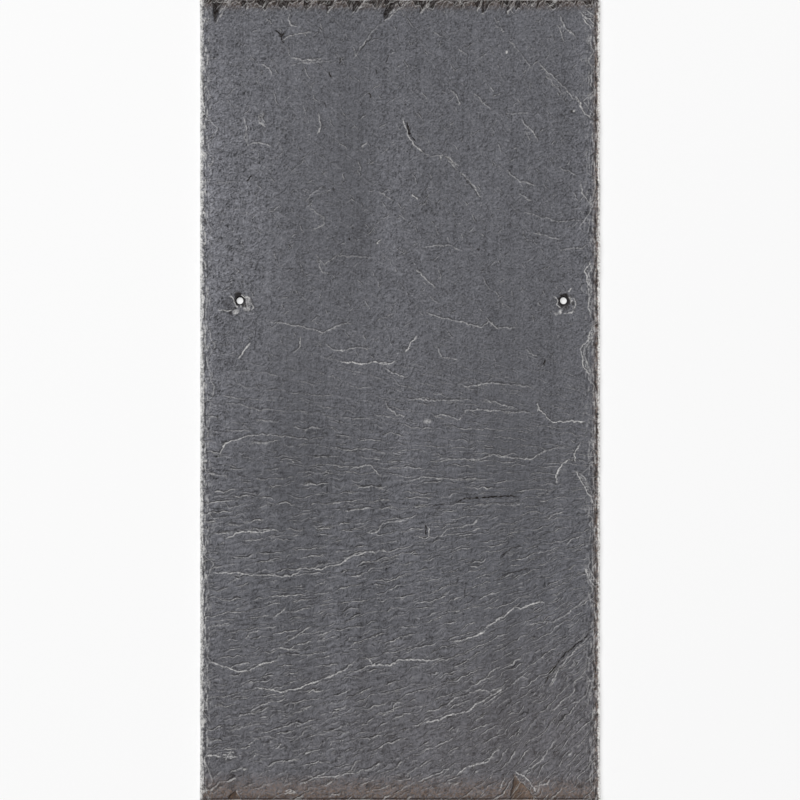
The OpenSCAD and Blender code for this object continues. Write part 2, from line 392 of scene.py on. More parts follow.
# How dark a crack is
CRACK_LOOKS = (
    (CRACKS, 1.8),
    (FAINT_CRACKS, 0.95),
    (HOLE_CRACKS, 0.9),
)
# A chip's dark line of painted shade on its shaded side, its pale lip of painted highlight on its lit side,
# and where across it the painted shade ends
CHIP_SIDE_SHADE = 0.85
CHIP_LIP = 0.6
CHIP_SHADE = (0.5, 0.8)
# How dark the painted shade over the chips of an edge is, how rusty they are, and how strong the pale
# streaks of painted light over their lit sides are
CHIP_DARK = {"head": 1, "tail": 0.5}
CHIP_RUST = {"tail": 0.6}
CHIP_FAN = {"head": 0.5}

# Profile of a cleavage step: share of its height below the layer, and the runs over which it fades
LOW_SHARE = 0.35
HIGH_FADE = 7.0
LOW_FADE = 4.0
STEP_SEARCH = 3 * HIGH_FADE
CRACK_DEPTH = 0.5
CRACK_WIDTH = 0.5
# The marks along a line are full within its band and gone at its end.
LINE_BAND = 1.0
LINE_END = 2 * LINE_BAND
CRACK_SEARCH = 3 * LINE_BAND
END_TAPER = 0.14
LIP_PATCH = 10
LIP_SWING = 0.5
# Raggedness of a line: length and least number of its spans, sway, its long and short bends,
# share of the short ones, and the run over which the sway starts
LINE_SPACING = 0.7
LEAST_SPANS = 4
LINE_RAG = 0.55
LONG_BEND = 4.5
SHORT_BEND = 1.7
SHORT_SHARE = 0.5
RAG_TAPER = 3
# Fine wander of the lips and cracks: size and swing
LINE_JITTER = (2.8, 2.4)
# Breaks of the lips and of the cracks: size, noise from the middle of a break to the whole line,
# and share of the line that is left in a break
LIP_BREAKS = (3.5, (0.38, 0.56), 0.6)
CRACK_BREAKS = (4, (0.38, 0.46), 0.2)
# Lip of pale stone with painted highlight, foot of painted shade, and crack: place to the right of the line,
# and half width
LIP_LINE = (0.05, 0.55)
FOOT_LINE = (-0.85, 0.6)
CRACK_LINE = (0, 0.65)
# Distance that stands where no line is near
FAR = 9.0

# Blots of the face: place, half width, half length, how pale, how dark
BLOTS = (
    # Round the nail holes the dark blots are painted shade in the craters, and the pale ones are bruises and
    # painted highlight on the broken facets
    ((-107, 60.5), 3.8, 3.6, 0, 0.3),
    ((-99.8, 61.9), 4.4, 4.4, 0, 0.9),
    ((-100.8, 65.9), 3.0, 1.6, 0, 0.9),
    ((-97, 60), 1.4, 3.2, 0, 0.9),
    ((-105.7, 54.4), 1.3, 1.5, 0, 0.75),
    ((-94.6, 60.6), 2.2, 4.4, 0.34, 0),
    ((-95.6, 56.6), 2.9, 1.1, 0.7, 0),
    ((-99.4, 58.7), 0.9, 1.0, 0.5, 0),
    ((-102.5, 55), 2.1, 1.9, 0.75, 0),
    ((102.3, 61.8), 4.4, 4.6, 0, 0.9),
    ((102.2, 65.1), 3.2, 1.7, 0, 0.95),
    ((107.9, 60.3), 0.9, 1.5, 0, 0.85),
    ((106.4, 64.6), 0.8, 1.2, 0, 0.7),
    ((103.4, 57.8), 2.6, 1.5, 0, 0.6),
    ((99.7, 55.2), 1.2, 1.7, 1, 0),
    ((97.4, 53.9), 1.4, 1.1, 0.4, 0),
    ((66.5, 217), 0.9, 0.9, 0.8, 0),
    ((-74.4, 227.6), 1.3, 1.1, 0, 1),
    ((107, 180), 1.0, 1.0, 0, 0.8),
    ((100.7, 178), 0.9, 0.9, 0, 0.75),
    ((108.4, 180.4), 0.8, 0.8, 0.6, 0),
    ((48.7, 93.8), 1.0, 0.9, 0, 0.8),
    ((-29.5, 107.3), 0.9, 0.9, 0, 0.75),
    ((-105, -240.5), 3.0, 2.0, 0, 0.45),
    ((-19.5, -240.5), 2.4, 2.2, 0, 0.5),
    ((21.5, -240.5), 2.2, 1.6, 0, 0.45),
    ((112, -240.5), 2.8, 1.8, 0, 0.5),
    ((16.8, -13.2), 2.7, 1.8, 0.42, 0),
    ((25.3, 150.9), 0.9, 1.3, 0.4, 0),
)
BLOT_FADE = 0.3
BLOT_RAG = 0.2
BLOT_GRAIN = 1.5

# Broad tone of the face: x, y, half width, half length, change of brightness
TONE_PATCHES = (
    (-122, 130, 10, 130, 0.30),
    (-100, 130, 26, 110, 0.20),
    (-118, -30, 12, 90, 0.12),
    (-60, 130, 10, 90, -0.04),
    (-29, 140, 14, 90, -0.10),
    (-4, 130, 12, 100, 0.08),
    (-66, -25, 16, 90, -0.10),
    (2, -25, 10, 80, 0.08),
    (66, -25, 22, 90, -0.09),
    (116, 130, 12, 90, 0.10),
    (-60, -170, 12, 60, -0.05),
    (-35, -170, 8, 60, 0.08),
    (-22, -170, 6, 60, -0.06),
    (64, -170, 16, 60, -0.10),
    (0, -45, 130, 22, -0.06),
    (0, -150, 150, 110, -0.025),
)

# Colours of the stone; PALE and DARK also serve as painted highlight and painted shade
SLATE = (0.1206, 0.1216, 0.1346, 1)
PALE = (0.66, 0.65, 0.64, 1)
BRUISE = (0.86, 0.85, 0.83, 1)
DARK = (0.013, 0.0105, 0.0095, 1)
RUST = (0.25, 0.15, 0.085, 1)
# Rust in the grain over the end towards the tail: where it starts, where it is full, how strong,
# and its shares at the left and at the right
TAIL_WASH = (-100, -230, 0.035)
WASH_SHARES = (0.7, 2)
ROUGHNESS = (0.7, 0.9)
SHEEN = 0.1

# Ripples of the break run out from this place beside the slate, and curl more towards the tail.
BREAK_FOCUS = (255, -45)
BREAK_RADIUS = 400
# The stone changes from grit to ripples between these two heights.
HEAD_ZONE = 75
TAIL_ZONE = -75
# Left of this line they sag towards the tail, by a share of the distance to it.
SAG_LINE = 60
SAG_SHARE = 0.3
SAG_ZONE = (-90, -240)
CURL_SIZE = 9
CURL_REACH = (3, 6.5)

# Noise runs from 0 to 1 about this middle, and has this much detail where it is rough.
NOISE_MIDDLE = 0.5
DETAIL = 2
BEND_DETAIL = 4
CLOUD_DETAIL = 3
# Grain of the stone towards the tail: size along and across the ripples, and swing of the tone
FIBRES = (2.6, 1.6, 0.7)
STRANDS = (7.5, 2.8, 1.35)
# Grit and lumps in its place towards the head: size across and up the slate, and swing of the tone
GRIT = (1.7, 1.6, 0.75)
LUMPS = (4.5, 4, 0.55)
# Pale crinkles towards the head: size of a bend, half width as noise, and rise of the tone
CRINKLES = (4.5, 0.035, 0.3)
# Patches that they show in: size, and noise from none of them to all
CRINKLE_PATCH = (9, (0.46, 0.6))
# Painted light and shade of crumpled ridges of the whole face: size of a bend, half width as noise,
# width of a flank, and swing of the tone towards the tail and towards the head
CRUMPLES = (3.3, 0.09, 0.65, (0.34, 0.35))
# Grain of the whole face: size across and up the slate, and swing of the tone
SPECKS = (1.2, 1.2, 1.4)
CLOUDS = (40, 55, 0.25)
SCORES = (1.6, 60, 0.35)
STREAKS = (9, 160, 0.4)
# Where the stone is brighter, its grain swings the tone further.
BRIGHT_GRAIN = 3
FIBRE_BUMP = 0.3
SPECK_BUMP = 0.2
# How the specks break up pale and rusty stone, and the dark marks with painted shade: noise from and to, and
# shares that are left
PALE_RUST_SPECKS = (0.32, 0.58, 0.4, 1)
DARK_SPECKS = (0.25, 0.55, 0.7, 1)
# Noise of the specks from the smoothest stone to the roughest
ROUGH_SPECKS = (0.25, 0.75)


class Ripples(NamedTuple):
    """Fine cleavage steps of the break."""
    spacing: float  # from one step to the next
    bend: tuple  # length and width of a bend
    sway: float  # how far a bend swings, in spacings
    line: float  # width of the lit lip and of the dark foot
    patch: tuple  # length and width of the patches that the steps show in
    cover: tuple  # noise of a patch from where the steps start to show to where they show in full
    share_outside: float  # how much of them is left outside their half of the slate
    # The pale lips are painted highlight, and the dark feet and backs of the steps are painted shade
    pale: float  # how pale the lips are
    dark: float  # how dark the feet are
    rise: float  # height of a step


RIPPLES = (
    Ripples(
        spacing=8,
        bend=(40, 8),
        sway=2.6,
        line=0.85,
        patch=(14, 6),
        cover=(0.43, 0.6),
        share_outside=0.12,
        pale=0.48,
        dark=0.68,
        rise=0.25,
    ),
    Ripples(
        spacing=3.6,
        bend=(10, 3.6),
        sway=2.4,
        line=0.8,
        patch=(7, 4),
        cover=(0.46, 0.62),
        share_outside=0.3,
        pale=0.2,
        dark=0.36,
        rise=0.1,
    ),
)
# Hairlines of the half towards the head, drawn as steps with painted highlight and painted shade, and the
# two ways that they run
HAIRLINES = Ripples(
    spacing=12,
    bend=(15, 6),
    sway=1.8,
    line=0.6,
    patch=(6, 5),
    cover=(0.52, 0.68),
    share_outside=0.25,
    pale=0.24,
    dark=0.5,
    rise=0.08,
)
HAIR_TURNS = (math.radians(-35), math.radians(60))


class Rim(NamedTuple):
    """Marks along one dressed edge, with their distances in from it."""
    rag: float  # how far the marks stray in and out
    bruise: tuple = ()  # where the bruised stone starts, where it is palest, and how pale
    gaps: tuple = ()  # place and half width of the dark gaps, how dark, and noise where they start
    soil: tuple = ()  # reach of the soil and how dark it is
    rust: tuple = ()  # reach of the rust and how strong it is
    ridges: tuple = ()  # each ridge: its place, its sway, the length of a bend and how pale it is
    strokes: tuple = ()  # reach of the short strokes along the edge, how pale and how dark they are


RIMS = {
    "left": Rim(
        rag=4,
        bruise=(2.9, 0, 0.8),
        gaps=(2.4, 0.8, 0.75, 0.46),
        ridges=((5, 26, 22, 0.35),),
        strokes=(9, 0.95, 1),
    ),
    "right": Rim(
        rag=2.4,
        bruise=(1.9, 0.8, 1),
        gaps=(3.0, 0.8, 0.85, 0.44),
        rust=(6, 0.75),
        ridges=((5.5, 26, 20, 0.4),),
        strokes=(14, 0.6, 1),
    ),
    "tail": Rim(
        rag=1,
        gaps=(1.15, 0.65, 1, 0.2),
        soil=(6, 0.6),
        rust=(22, 0.52),
    ),
    "head": Rim(
        rag=3,
        soil=(10, 1),
        rust=(8, 0.65),
    ),
}
RAG_SIZE = 1.6
# Noise that the dark gaps, the soil and the rust follow: size, and how they come in with it
GAP_SIZE = 5
GAP_FADE = 0.12
STAIN_SIZE = 1.5
SOIL_COVER = (0.43, 0.58)
RUST_COVER = (0.36, 0.62, 0.35, 1)
# Strokes along the edges: size, and noise from none to the palest and to the darkest
STROKE_SIZE = (1.3, 6)
STROKE_PALE = (0.52, 0.64)
STROKE_DARK = (0.47, 0.35)
# Ridges along the edges, drawn as painted highlight and painted shade: half width, and patches that they
# show in, in bends
RIDGE_WIDTH = 0.6
RIDGE_PATCH = 2
RIDGE_COVER = (0.4, 0.55)
RIDGE_START = 10
PATCH_START = 0.5
# Small leaning chips of the head, between the large ones, drawn as painted shade with painted highlight on
# their slopes
TOOTH_PITCH = 9
TOOTH_DRIFT = 11
TOOTH_STRAY = 4
TOOTH_STARTS = (7, 3)
TOOTH_NOISE = (0.35, 0.7)
TOOTH_REACH = (1.5, 9)
TOOTH_FADE = 0.4
TOOTH_DARK = 0.95
TOOTH_SLOPE = (0.5, 0.6)
TOOTH_LIP = 0.4
# Hatching of the head and of its chips: reach, run and size, then noise from and to for each mark
HATCH_REACH = 14
HATCH_TURN = math.radians(-58)
HATCH_SIZE = (5, 0.8)
HATCH_PALE = (0.52, 0.66, 0, 0.18)
HATCH_DARK = (0.48, 0.34, 0, 0.65)
HATCH_FAN = (0.48, 0.6)
HATCH_SHADE = (0.66, 0.54, 0.5, 1)

# Stage
FLOOR_SIZE = 6.0
FLOOR_COLOUR = (0.97, 0.97, 0.97, 1)
FLOOR_ROUGHNESS = 0.9
FLOOR_GLOW = 0.5
WHITE = (1, 1, 1, 1)
KEY_BEARING = 135
KEY_HEIGHT = 75
KEY_DISTANCE = 5
KEY_SIZE = 3
KEY_POWER = 194
FILL = 0.25
CAMERA_LENS = 200
CAMERA_SENSOR = 36
PHOTO_PIXELS = 800
SLATE_MIDDLE_PIXEL = 400.1
CROPPED_LENGTH = 1


def scatter(n):
    """The same share from 0 to 1 for the same whole number, as in the solid."""
    value = math.sin(math.radians(n * SCATTER_TURN + SCATTER_START)) * SCATTER_SCALE
    return value - math.floor(value)


def between(low, high, share):
    return low + (high - low) * share


def fade(values):
    """Eases from 0 to 1."""
    values = np.clip(values, 0, 1)
    return values * values * (3 - 2 * values)


def drift(x, y, size, seed):
    """Smooth noise from -1 to 1, whose swells are about size apart."""
    turn_x, turn_y, turn_seed = NOISE_TURNS
    x = np.asarray(x, float) / size
    y = np.asarray(y, float) / size
    left = np.floor(x)
    below = np.floor(y)
    across = fade(x - left)
    up = fade(y - below)

    def corner(i, j):
        value = np.sin((left + i) * turn_x + (below + j) * turn_y + seed * turn_seed) * SCATTER_SCALE
        return 2 * (value - np.floor(value)) - 1

    lower = between(corner(0, 0), corner(1, 0), across)
    upper = between(corner(0, 1), corner(1, 1), across)
    return between(lower, upper, up)


def drift_share(x, y, size, seed):
    """The same noise as a share from 0 to 1."""
    return 0.5 + 0.5 * drift(x, y, size, seed)


def ragged_line(points, seed):
    """The line of a step in plan, with its points joined and made ragged."""
    points = np.array(points, float)
    runs = np.concatenate([[0], np.cumsum(np.hypot(*np.diff(points, axis=0).T))])
    spans = max(LEAST_SPANS, round(runs[-1] / LINE_SPACING))
    along = np.linspace(0, runs[-1], spans + 1)
    x = np.interp(along, runs, points[:, 0])
    y = np.interp(along, runs, points[:, 1])
    turn = np.hypot(np.gradient(x), np.gradient(y))
    long_sway = drift(along, seed, LONG_BEND, LONG_RAG_SEED)
    short_sway = drift(along, seed, SHORT_BEND, SHORT_RAG_SEED)
    sway = LINE_RAG * (long_sway + SHORT_SHARE * short_sway)
    sway *= fade(np.minimum(along, runs[-1] - along) / RAG_TAPER)
    return np.stack([x - sway * np.gradient(y) / turn, y + sway * np.gradient(x) / turn], axis=1)


def beside(line, x, y):
    """Distance to the right of a line, and the share of the way along it."""
    start = line[:-1]
    run = line[1:] - start
    square = (run ** 2).sum(1)
    off_x = x[:, None] - start[:, 0]
    off_y = y[:, None] - start[:, 1]
    share = np.clip((off_x * run[:, 0] + off_y * run[:, 1]) / square, 0, 1)
    gap = np.hypot(off_x - share * run[:, 0], off_y - share * run[:, 1])
    nearest = gap.argmin(1)
    rows = np.arange(len(x))
    turned_left = run[nearest, 0] * off_y[rows, nearest] > run[nearest, 1] * off_x[rows, nearest]
    right = np.where(turned_left, -1, 1) * gap[rows, nearest]
    return right, (nearest + share[rows, nearest]) / len(run)


def edge_frame(edge, x, y):
    """Places of points along an edge and inward from it."""
    middle_x, middle_y = EDGES[edge].middle
    angle = math.radians(EDGES[edge].turn)
    along = (x - middle_x) * math.cos(angle) + (y - middle_y) * math.sin(angle)
    inward = (y - middle_y) * math.cos(angle) - (x - middle_x) * math.sin(angle)
    return along, inward


def edge_point(edge, along, inward):
    """The place on the slate of a point given along an edge and inward from it."""
    middle_x, middle_y = EDGES[edge].middle
    angle = math.radians(EDGES[edge].turn)
    return (
        middle_x + along * math.cos(angle) - inward * math.sin(angle),
        middle_y + along * math.sin(angle) + inward * math.cos(angle),
    )


def chip_sides(edge, chip):
    """The two sides of a chip in plan, each from its foot on the edge to its tip."""
    share, width, reach, _, lean = chip
    middle = share * EDGES[edge].length
    tip = edge_point(edge, middle + lean * width, reach)
    feet = [edge_point(edge, middle + side * width / 2, 0) for side in (-1, 1)]
    return [ragged_line((foot, tip), CHIP_SEED) for foot in feet]


def face_marks():
    """Steps and lips of the face as (line, height, pale, dark), and its cracks as (line, dark)."""
    marks = []
    for steps, height, pale, dark in STEP_LOOKS:
        lines = [ragged_line(step, STEP_SEED + i) for i, step in enumerate(steps)]
        marks += [(line, height, pale, dark) for line in lines]
    cracks = []
    for lines, dark in CRACK_LOOKS:
        cracks += [(ragged_line(line, CRACK_SEED + i), dark) for i, line in enumerate(lines)]
    for edge in EDGES:
        for chip in EDGES[edge].chips:
            # Each chip's lit side gets a pale lip of painted highlight, and its shaded side a crack whose
            # dark line is painted shade
            shaded, lit = sorted(chip_sides(edge, chip), key=lambda side: side[0, 0])
            marks.append((lit, 0, CHIP_LIP, 0))
            cracks.append((shaded, CHIP_SIDE_SHADE))
    return marks, cracks


def blot_points(place, half_width, half_length):
    """The middle of a blot and the ends of its two axes."""
    axes = np.array([(0, 0), (-half_width, 0), (half_width, 0), (0, -half_length), (0, half_length)])
    return np.array(place) + axes


def line_tree(lines):
    """A search tree over the points of many lines."""
    points = np.concatenate(lines)
    tree = kdtree.KDTree(len(points))
    for i, (x, y) in enumerate(points):
        tree.insert((x, y, 0), i)
    tree.balance()
    return tree


def hole_place(hole):
    return Vector((hole["pos_m"][0] / MM, hole["pos_m"][1] / MM, 0))


def block_centre(hole):
    """The grid's crossing nearest a nail hole."""
    place = hole_place(hole)
    return Vector((round(place.x / CELL) * CELL, round(place.y / CELL) * CELL, 0))


def from_block(hole, point):
    offset = point - block_centre(hole)
    return max(abs(offset.x), abs(offset.y))


def from_edge(point):
    return min(WIDTH / 2 - abs(point.x), LENGTH / 2 - abs(point.y))


def blank(bm):
    """A closed slab on a square grid."""
    bmesh.ops.create_grid(bm, x_segments=round(WIDTH / CELL), y_segments=round(LENGTH / CELL), size=0.5)
    bmesh.ops.scale(bm, vec=(WIDTH, LENGTH, 1), verts=bm.verts)
    raised = bmesh.ops.extrude_face_region(bm, geom=bm.faces[:])["geom"]
    lifted = [part for part in raised if isinstance(part, bmesh.types.BMVert)]
    bmesh.ops.translate(bm, vec=(0, 0, THICKNESS), verts=lifted)
    bmesh.ops.recalc_face_normals(bm, faces=bm.faces)


def on_top(face):
    return all(v.co.z > THICKNESS - TOUCH for v in face.verts)


def is_wall(face):
    return abs(face.normal.z) < WALL_SLOPE


def level_edges(face):
    return [e for e in face.edges if abs(e.verts[0].co.z - e.verts[1].co.z) < TOUCH]


def halve_cells(bm, wanted, wall_rows):
    """Halves the cells of the weather face that are wanted, and the cells of the walls."""
    edges = []
    for face in bm.faces:
        if is_wall(face):
            edges += face.edges if wall_rows else level_edges(face)
        elif on_top(face) and wanted(face.calc_center_median()):
            edges += face.edges
    each_once = list(dict.fromkeys(edges))
    bmesh.ops.subdivide_edges(bm, edges=each_once, cuts=1, use_grid_fill=True)


def refine(bm, tree):
    """Makes the grid finer, most of all where the stone is broken up."""
    halve_cells(bm, lambda centre: True, wall_rows=True)
    for level, wall_rows in ((0, False), (1, True)):
        def wanted(centre):
            flat = Vector((centre.x, centre.y, 0))
            return (
                from_edge(flat) < EDGE_REACH[level]
                or any(from_block(hole, flat) < HOLE_BLOCK + HOLE_MARGIN[level] for hole in NAIL_HOLES)
                or tree.find(flat)[2] < LINE_REACH[level]
            )

        halve_cells(bm, wanted, wall_rows)


def ring(bm, rim, centre, radius, shrink):
    """Runs one ring of faces in from a rim, towards a circle."""
    made = bmesh.ops.extrude_edge_only(bm, edges=rim)["geom"]
    for v in made:
        if isinstance(v, bmesh.types.BMVert):
            out = Vector((v.co.x - centre.x, v.co.y - centre.y, 0))
            reach = radius + (out.length - radius) * shrink
            level = v.co.z
            v.co = centre + out.normalized() * reach
            v.co.z = level
    return [e for e in made if isinstance(e, bmesh.types.BMEdge) and e.is_boundary]


def open_rim(bm, level):
    return [e for e in bm.edges if e.is_boundary and abs(e.verts[0].co.z - level) < TOUCH]


def punch(bm, hole):
    """Cuts a nail hole: opens both faces round it, runs rings in to its rim and joins the two rims."""
    centre = hole_place(hole)
    radius = hole["dims"]["r_mm"]
    rims = []
    for level in (THICKNESS, 0):
        block = [
            f for f in bm.faces
            if abs(f.calc_center_median().z - level) < TOUCH
            and from_block(hole, f.calc_center_median()) < HOLE_BLOCK
        ]
        bmesh.ops.delete(bm, geom=block, context="FACES")
        rim = open_rim(bm, level)
        if rims:
            cuts = len(rims) // len(rim) - 1
            bmesh.ops.subdivide_edges(bm, edges=rim, cuts=cuts)
            rim = open_rim(bm, level)
        for _ in range(RING_COUNT):
            rim = ring(bm, rim, centre, radius, RING_SHRINK)
        rims += ring(bm, rim, centre, radius, 0)
    bmesh.ops.bridge_loops(bm, edges=rims)


def flat_slate(tree):
    """The slate's mesh before its stone is broken: a flat sheet with its holes."""
    bm = bmesh.new()
    blank(bm)
    refine(bm, tree)
    for hole in NAIL_HOLES:
        punch(bm, hole)
    bmesh.ops.triangulate(bm, faces=[f for f in bm.faces if len(f.verts) > 4])
    bmesh.ops.recalc_face_normals(bm, faces=bm.faces)
    mesh = bpy.data.meshes.new("riven_slate")
    bm.to_mesh(mesh)
    bm.free()
    return mesh


def flake_hollow(along, inward, middle, reach, drop, radius):
    """Height of the round hollow of a flake, or of the whole sheet where it doesn't reach."""
    chord = math.hypot(reach, drop)
    rise = math.sqrt(radius ** 2 - chord ** 2 / 4)
    centre_in = reach / 2 - rise * drop / chord
    centre_up = THICKNESS - drop / 2 + rise * reach / chord
    square = radius ** 2 - (along - middle) ** 2 - (inward - centre_in) ** 2
    floor = centre_up - np.sqrt(np.maximum(square, 0))
    return np.where(square > 0, np.minimum(floor, THICKNESS), THICKNESS)


def flaked_edge(edge, x, y):
    """Depth that the dressing knife has taken off the weather face along one edge."""
    length = EDGES[edge].length
    along, inward = edge_frame(edge, x, y)
    count = round(length / FLAKE_PITCH)
    flakes = [(share * length, *shape) for share, *shape in EDGES[edge].long_flakes]
    for i in range(count):
        first = EDGES[edge].seed + FLAKE_SEED + FLAKE_DRAWS * i
        stray = between(-FLAKE_STRAY, FLAKE_STRAY, scatter(first))
        flakes.append((
            length * ((i + 0.5 + stray) / count - 0.5),
            between(*FLAKE_REACH, scatter(first + 1) ** 2),
            between(*FLAKE_DROP, scatter(first + 2)),
            FLAKE_RADIUS,
        ))
    floor = np.full(len(x), THICKNESS, float)
    for flake in flakes:
        floor = np.minimum(floor, flake_hollow(along, inward, *flake))
    return THICKNESS - floor


def chipped_edge(edge, x, y):
    """Depth of the angular chips of the head or tail, and the share of the way to their lit sides."""
    depth = np.zeros(len(x))
    lit = np.zeros(len(x))
    _, inward = edge_frame(edge, x, y)
    for chip in EDGES[edge].chips:
        _, _, reach, drop, _ = chip
        first, second = chip_sides(edge, chip)
        tip_x, tip_y = first[-1]
        near = np.flatnonzero(np.hypot(x - tip_x, y - tip_y) < CHIP_SEARCH * reach)
        from_first = beside(first, x[near], y[near])[0]
        from_second = -beside(second, x[near], y[near])[0]
        inside = (from_first > 0) & (from_second > 0) & (inward[near] < reach)
        at = near[inside]
        floor = drop - inward[at] * (drop - CHIP_STEP) / reach
        depth[at] = np.maximum(depth[at], floor)
        across = (from_first / (from_first + from_second))[inside]
        lit[at] = across if second[0, 0] > first[0, 0] else 1 - across
    return depth, lit


def crater(hole, headings, x, y):
    """Depth of the cone and the spalls round a nail hole."""
    place = hole_place(hole)
    radius = hole["dims"]["r_mm"]
    gap = np.hypot(x - place.x, y - place.y)
    depth = CRATER_DEPTH * np.clip((CRATER_RADIUS - gap) / (CRATER_RADIUS - radius), 0, 1)
    for heading in headings:
        angle = math.radians(heading)
        middle_x = place.x + SPALL_SHIFT * math.cos(angle)
        middle_y = place.y + SPALL_SHIFT * math.sin(angle)
        square = SPALL_RADIUS ** 2 - (x - middle_x) ** 2 - (y - middle_y) ** 2
        bowl = SPALL_DEPTH - SPALL_RADIUS + np.sqrt(np.maximum(square, 0))
        depth = np.maximum(depth, bowl)
    return depth


def wandered(x, y):
    """Moves the outline in from a straight line, with what lies near it."""
    for edge in EDGES:
        length = EDGES[edge].length
        seed = EDGES[edge].seed
        along, inward = edge_frame(edge, x, y)
        count = round(length / FLAKE_PITCH)
        knots = length * (np.arange(count + 1) / count - 0.5)
        strays = [0] + [EDGE_WANDER * scatter(seed + i) for i in range(1, count)] + [0]
        shift = np.interp(along, knots, strays)
        shift += EDGE_RAG * drift_share(along, seed, EDGE_RAG_SIZE, OUTLINE_SEED)
        corner = fade((length / 2 - np.abs(along)) / FLAKE_PITCH)
        inward = inward + shift * corner * np.clip(1 - inward / EDGE_REACH[0], 0, 1)
        x, y = edge_point(edge, along, inward)
    return x, y


class Relief:
    """Height of the weather face and how its stone is marked, with its painted light and shade, at many
    points.
    """

    def __init__(self, x, y, steps, cracks):
        self.x = x
        self.y = y
        self.height = np.full(len(x), THICKNESS, float)
        names = ("lip_pale", "lip_dark", "crack_dark", "pale", "dark", "rust", "tone", "chip", "fan")
        self.marks = {name: np.zeros(len(x)) for name in names}
        self.marks["lip_gap"] = np.full(len(x), FAR)
        self.marks["crack_gap"] = np.full(len(x), FAR)
        self.swell()
        for i, (line, height, pale, dark) in enumerate(steps):
            self.step(line, height, pale, dark, i)
        for line, dark in cracks:
            self.crack(line, dark)
        self.dress()
        self.punch_marks()
        self.patches()

    def along_line(self, line, reach):
        """The points near a line: their numbers, distances to its right, shares along it and its taper."""
        low_x, low_y = line.min(0) - reach
        high_x, high_y = line.max(0) + reach
        inside = (self.x > low_x) & (self.x < high_x) & (self.y > low_y) & (self.y < high_y)
        near = np.flatnonzero(inside)
        right, share = beside(line, self.x[near], self.y[near])
        taper = fade(np.minimum(share, 1 - share) / END_TAPER)
        return near, right, share, taper

    def raise_mark(self, name, values):
        """Keeps the stronger of what a mark is and what it would be."""
        self.marks[name] = np.maximum(self.marks[name], values)

    def swell(self):
        """Broad and finer hollows of the split."""
        broad_size, broad = BROAD_SWELL
        fine_size, fine = FINE_SWELL
        broad_depth = broad * drift(self.x, self.y, broad_size, BROAD_SWELL_SEED)
        fine_depth = fine * drift(self.x, self.y, fine_size, FINE_SWELL_SEED)
        self.height -= SWELL_DEPTH + broad_depth + fine_depth

    def draw(self, kind, near, right, strengths):
        """Notes the distance to the nearest line of a kind, and how strong that line is there."""
        gaps = self.marks[kind + "_gap"]
        closer = np.abs(right) < np.abs(gaps[near])
        at = near[closer]
        gaps[at] = right[closer]
        band = np.clip((LINE_END - np.abs(right)) / (LINE_END - LINE_BAND), 0, 1)
        for name, values in strengths.items():
            self.marks[f"{kind}_{name}"][at] = (values * band)[closer]

    def step(self, line, height, pale, dark, seed):
        """Raises the layer on one side of a step, and draws its lip in pale stone with painted highlight and
        its foot in painted shade.
        """
        near, right, share, taper = self.along_line(line, STEP_SEARCH)
        high_side = (1 - LOW_SHARE) * np.exp(-np.maximum(right, 0) / HIGH_FADE)
        low_side = -LOW_SHARE * np.exp(np.minimum(right, 0) / LOW_FADE)
        self.height[near] += height * taper * np.where(right > 0, high_side, low_side)
        patchy = drift(share * len(line), seed, LIP_PATCH, LIP_SEED)
        strengths = {
            "pale": pale * taper * (1 + LIP_SWING * patchy),
            "dark": dark * taper * (1 - LIP_SWING * patchy),
        }
        self.draw("lip", near, right, strengths)

    def crack(self, line, dark):
        """Opens a crack and draws it."""
        near, right, _, taper = self.along_line(line, CRACK_SEARCH)
        self.height[near] -= CRACK_DEPTH * taper * np.clip(1 - np.abs(right) / CRACK_WIDTH, 0, 1)
        self.draw("crack", near, right, {"dark": dark * taper})

    def dress(self):
        """Takes the flakes and chips off the edges, marks the chips' rust, and paints shade over the shaded
        side of each chip and light over its lit side.
        """
        shade_end, lit_start = CHIP_SHADE
        for edge in EDGES:
            taken = flaked_edge(edge, self.x, self.y)
            chips, lit = chipped_edge(edge, self.x, self.y)
            chipped = chips > 0
            shade = chipped * (1 - fade((lit - shade_end) / (lit_start - shade_end)))
            self.height = np.minimum(self.height, THICKNESS - np.maximum(taken, chips))
            self.raise_mark("rust", CHIP_RUST.get(edge, 0) * chipped)
            self.raise_mark("chip", CHIP_DARK.get(edge, 0) * shade)
            self.raise_mark("fan", CHIP_FAN.get(edge, 0) * chipped * (1 - shade))

    def punch_marks(self):
        """Breaks the craters out round the nail holes, and lays the blots of the face, which round the holes
        are painted shade and highlight.
        """
        for hole, headings in zip(NAIL_HOLES, SPALL_HEADINGS):
            self.height = np.minimum(self.height, THICKNESS - crater(hole, headings, self.x, self.y))
        for (x, y), half_width, half_length, pale, dark in BLOTS:
            away = np.hypot((self.x - x) / half_width, (self.y - y) / half_length)
            away += BLOT_RAG * drift(self.x, self.y, BLOT_GRAIN, BLOT_SEED)
            spot = fade((1 - away) / BLOT_FADE)
            self.raise_mark("pale", pale * spot)
            if pale:
                self.marks["dark"] *= 1 - spot
            self.raise_mark("dark", dark * spot)

    def patches(self):
        """Lays the broad tone of the face."""
        for x, y, half_width, half_length, change in TONE_PATCHES:
            away = ((self.x - x) / half_width) ** 2 + ((self.y - y) / half_length) ** 2
            self.marks["tone"] += change * np.exp(-away)


